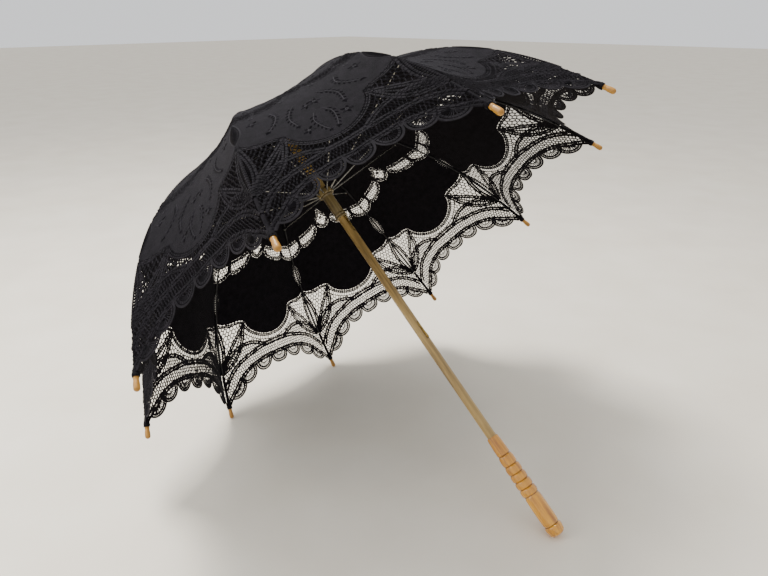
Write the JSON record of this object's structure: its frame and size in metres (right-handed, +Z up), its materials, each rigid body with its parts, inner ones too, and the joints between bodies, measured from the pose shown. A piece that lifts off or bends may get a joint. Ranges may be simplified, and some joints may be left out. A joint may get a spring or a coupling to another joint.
{
  "type": "lace parasol",
  "caption": "Open lace parasol with bowed steel ribs, wooden shaft and turned wooden handle; the runner slides down the shaft to fold it.",
  "frame": {"origin": "centre of the bounding box at floor level, with the parasol open and standing on two rib tips and the end of its handle", "axes": "+Z up; the shaft lies in the XZ plane with the handle towards +X and the ferrule towards -X; +Y across"},
  "size_m": [0.637, 0.8046, 0.6125],
  "materials": {
    "lace": "black cotton tape lace with solid cloth patches",
    "handle_wood": "turned wood, clear golden varnish",
    "shaft_wood": "plain dowel, satin varnish",
    "tip_wood": "small turned wood, satin",
    "hub_wood": "dark olive stained wood, satin",
    "rib_steel": "dark lacquered steel wire",
    "stretcher_steel": "drawn steel wire",
    "catch_brass": "bent spring brass"
  },
  "bodies": {
    "root": {"shaft": "shaft_wood", "handle": "handle_wood", "ferrule": "handle_wood", "crown_cap": "lace", "top_notch": "hub_wood", "notch_wire": "rib_steel", "stop_pin": "rib_steel"},
    "runner": {"runner_crown": "hub_wood", "runner_wire": "rib_steel", "runner_sleeve": "hub_wood", "runner_collar": "hub_wood"},
    "top_catch": {"top_catch": "catch_brass"},
    "bottom_catch": {"bottom_catch": "catch_brass"},
    "rib_1": {"rib_1": "rib_steel", "rib_tip_1": "tip_wood", "canopy_1": "lace"},
    "stretcher_1": {"stretcher_1": "stretcher_steel"},
    "rib_2": {"rib_2": "rib_steel", "rib_tip_2": "tip_wood", "canopy_2": "lace"},
    "stretcher_2": {"stretcher_2": "stretcher_steel"},
    "rib_3": {"rib_3": "rib_steel", "rib_tip_3": "tip_wood", "canopy_3": "lace"},
    "stretcher_3": {"stretcher_3": "stretcher_steel"},
    "rib_4": {"rib_4": "rib_steel", "rib_tip_4": "tip_wood", "canopy_4": "lace"},
    "stretcher_4": {"stretcher_4": "stretcher_steel"},
    "rib_5": {"rib_5": "rib_steel", "rib_tip_5": "tip_wood", "canopy_5": "lace"},
    "stretcher_5": {"stretcher_5": "stretcher_steel"},
    "rib_6": {"rib_6": "rib_steel", "rib_tip_6": "tip_wood", "canopy_6": "lace"},
    "stretcher_6": {"stretcher_6": "stretcher_steel"},
    "rib_7": {"rib_7": "rib_steel", "rib_tip_7": "tip_wood", "canopy_7": "lace"},
    "stretcher_7": {"stretcher_7": "stretcher_steel"},
    "rib_8": {"rib_8": "rib_steel", "rib_tip_8": "tip_wood", "canopy_8": "lace"},
    "stretcher_8": {"stretcher_8": "stretcher_steel"},
    "rib_9": {"rib_9": "rib_steel", "rib_tip_9": "tip_wood", "canopy_9": "lace"},
    "stretcher_9": {"stretcher_9": "stretcher_steel"},
    "rib_10": {"rib_10": "rib_steel", "rib_tip_10": "tip_wood", "canopy_10": "lace"},
    "stretcher_10": {"stretcher_10": "stretcher_steel"}
  },
  "joints": [
    {"name": "runner_slide", "type": "slide", "parent": "root", "child": "runner", "axis": [0.7432, 0, -0.6691], "range_m": [0, 0.2747], "deforming": ["top_catch", "bottom_catch"]},
    {"name": "rib_1_fold", "type": "hinge", "parent": "root", "child": "rib_1", "pos_m": [-0.21347, -0.00315, 0.4673], "axis": [0.2068, -0.9511, 0.2297], "range_deg": [0, 52.1], "deforming": ["canopy_1"]},
    {"name": "stretcher_1_fold", "type": "hinge", "parent": "runner", "child": "stretcher_1", "pos_m": [-0.13023, -0.00315, 0.39236], "axis": [-0.2068, 0.9511, -0.2297], "range_deg": [0, 49.6]},
    {"name": "rib_2_fold", "type": "hinge", "parent": "root", "child": "rib_2", "pos_m": [-0.21347, 0.00315, 0.4673], "axis": [-0.2068, -0.9511, -0.2297], "range_deg": [0, 52.1], "deforming": ["canopy_2"]},
    {"name": "stretcher_2_fold", "type": "hinge", "parent": "runner", "child": "stretcher_2", "pos_m": [-0.13023, 0.00315, 0.39236], "axis": [0.2068, 0.9511, 0.2297], "range_deg": [0, 49.6]},
    {"name": "rib_3_fold", "type": "hinge", "parent": "root", "child": "rib_3", "pos_m": [-0.21099, 0.00825, 0.47005], "axis": [-0.5413, -0.5878, -0.6012], "range_deg": [0, 52.1], "deforming": ["canopy_3"]},
    {"name": "stretcher_3_fold", "type": "hinge", "parent": "runner", "child": "stretcher_3", "pos_m": [-0.12776, 0.00825, 0.39511], "axis": [0.5413, 0.5878, 0.6012], "range_deg": [0, 49.6]},
    {"name": "rib_4_fold", "type": "hinge", "parent": "root", "child": "rib_4", "pos_m": [-0.20698, 0.0102, 0.47451], "axis": [-0.6691, 0, -0.7432], "range_deg": [0, 52.1], "deforming": ["canopy_4"]},
    {"name": "stretcher_4_fold", "type": "hinge", "parent": "runner", "child": "stretcher_4", "pos_m": [-0.12374, 0.0102, 0.39957], "axis": [0.6691, 0, 0.7432], "range_deg": [0, 49.6]},
    {"name": "rib_5_fold", "type": "hinge", "parent": "root", "child": "rib_5", "pos_m": [-0.20297, 0.00825, 0.47896], "axis": [-0.5413, 0.5878, -0.6012], "range_deg": [0, 52.1], "deforming": ["canopy_5"]},
    {"name": "stretcher_5_fold", "type": "hinge", "parent": "runner", "child": "stretcher_5", "pos_m": [-0.11973, 0.00825, 0.40403], "axis": [0.5413, -0.5878, 0.6012], "range_deg": [0, 49.6]},
    {"name": "rib_6_fold", "type": "hinge", "parent": "root", "child": "rib_6", "pos_m": [-0.20049, 0.00315, 0.48172], "axis": [-0.2068, 0.9511, -0.2297], "range_deg": [0, 52.1], "deforming": ["canopy_6"]},
    {"name": "stretcher_6_fold", "type": "hinge", "parent": "runner", "child": "stretcher_6", "pos_m": [-0.11725, 0.00315, 0.40678], "axis": [0.2068, -0.9511, 0.2297], "range_deg": [0, 49.6]},
    {"name": "rib_7_fold", "type": "hinge", "parent": "root", "child": "rib_7", "pos_m": [-0.20049, -0.00315, 0.48172], "axis": [0.2068, 0.9511, 0.2297], "range_deg": [0, 52.1], "deforming": ["canopy_7"]},
    {"name": "stretcher_7_fold", "type": "hinge", "parent": "runner", "child": "stretcher_7", "pos_m": [-0.11725, -0.00315, 0.40678], "axis": [-0.2068, -0.9511, -0.2297], "range_deg": [0, 49.6]},
    {"name": "rib_8_fold", "type": "hinge", "parent": "root", "child": "rib_8", "pos_m": [-0.20297, -0.00825, 0.47896], "axis": [0.5413, 0.5878, 0.6012], "range_deg": [0, 52.1], "deforming": ["canopy_8"]},
    {"name": "stretcher_8_fold", "type": "hinge", "parent": "runner", "child": "stretcher_8", "pos_m": [-0.11973, -0.00825, 0.40403], "axis": [-0.5413, -0.5878, -0.6012], "range_deg": [0, 49.6]},
    {"name": "rib_9_fold", "type": "hinge", "parent": "root", "child": "rib_9", "pos_m": [-0.20698, -0.0102, 0.47451], "axis": [0.6691, 0, 0.7432], "range_deg": [0, 52.1], "deforming": ["canopy_9"]},
    {"name": "stretcher_9_fold", "type": "hinge", "parent": "runner", "child": "stretcher_9", "pos_m": [-0.12374, -0.0102, 0.39957], "axis": [-0.6691, 0, -0.7432], "range_deg": [0, 49.6]},
    {"name": "rib_10_fold", "type": "hinge", "parent": "root", "child": "rib_10", "pos_m": [-0.21099, -0.00825, 0.47005], "axis": [0.5413, -0.5878, 0.6012], "range_deg": [0, 52.1], "deforming": ["canopy_10"]},
    {"name": "stretcher_10_fold", "type": "hinge", "parent": "runner", "child": "stretcher_10", "pos_m": [-0.12776, -0.00825, 0.39511], "axis": [-0.5413, 0.5878, -0.6012], "range_deg": [0, 49.6]},
    {"name": "top_catch_press", "type": "slide", "parent": "root", "child": "top_catch", "axis": [-0.6691, 0, -0.7432], "range_m": [0, 0.0024], "stiffness_N_per_m": 300, "springref_m": -0.003},
    {"name": "bottom_catch_press", "type": "slide", "parent": "root", "child": "bottom_catch", "axis": [-0.6691, 0, -0.7432], "range_m": [0, 0.0024], "stiffness_N_per_m": 300, "springref_m": -0.003}
  ],
  "couplings": [
    {"joint": "rib_1_fold", "follows": "runner_slide", "rad_per_m": 3.3038},
    {"joint": "stretcher_1_fold", "follows": "runner_slide", "rad_per_m": 3.146},
    {"joint": "rib_2_fold", "follows": "runner_slide", "rad_per_m": 3.3038},
    {"joint": "stretcher_2_fold", "follows": "runner_slide", "rad_per_m": 3.146},
    {"joint": "rib_3_fold", "follows": "runner_slide", "rad_per_m": 3.3038},
    {"joint": "stretcher_3_fold", "follows": "runner_slide", "rad_per_m": 3.146},
    {"joint": "rib_4_fold", "follows": "runner_slide", "rad_per_m": 3.3038},
    {"joint": "stretcher_4_fold", "follows": "runner_slide", "rad_per_m": 3.146},
    {"joint": "rib_5_fold", "follows": "runner_slide", "rad_per_m": 3.3038},
    {"joint": "stretcher_5_fold", "follows": "runner_slide", "rad_per_m": 3.146},
    {"joint": "rib_6_fold", "follows": "runner_slide", "rad_per_m": 3.3038},
    {"joint": "stretcher_6_fold", "follows": "runner_slide", "rad_per_m": 3.146},
    {"joint": "rib_7_fold", "follows": "runner_slide", "rad_per_m": 3.3038},
    {"joint": "stretcher_7_fold", "follows": "runner_slide", "rad_per_m": 3.146},
    {"joint": "rib_8_fold", "follows": "runner_slide", "rad_per_m": 3.3038},
    {"joint": "stretcher_8_fold", "follows": "runner_slide", "rad_per_m": 3.146},
    {"joint": "rib_9_fold", "follows": "runner_slide", "rad_per_m": 3.3038},
    {"joint": "stretcher_9_fold", "follows": "runner_slide", "rad_per_m": 3.146},
    {"joint": "rib_10_fold", "follows": "runner_slide", "rad_per_m": 3.3038},
    {"joint": "stretcher_10_fold", "follows": "runner_slide", "rad_per_m": 3.146}
  ]
}
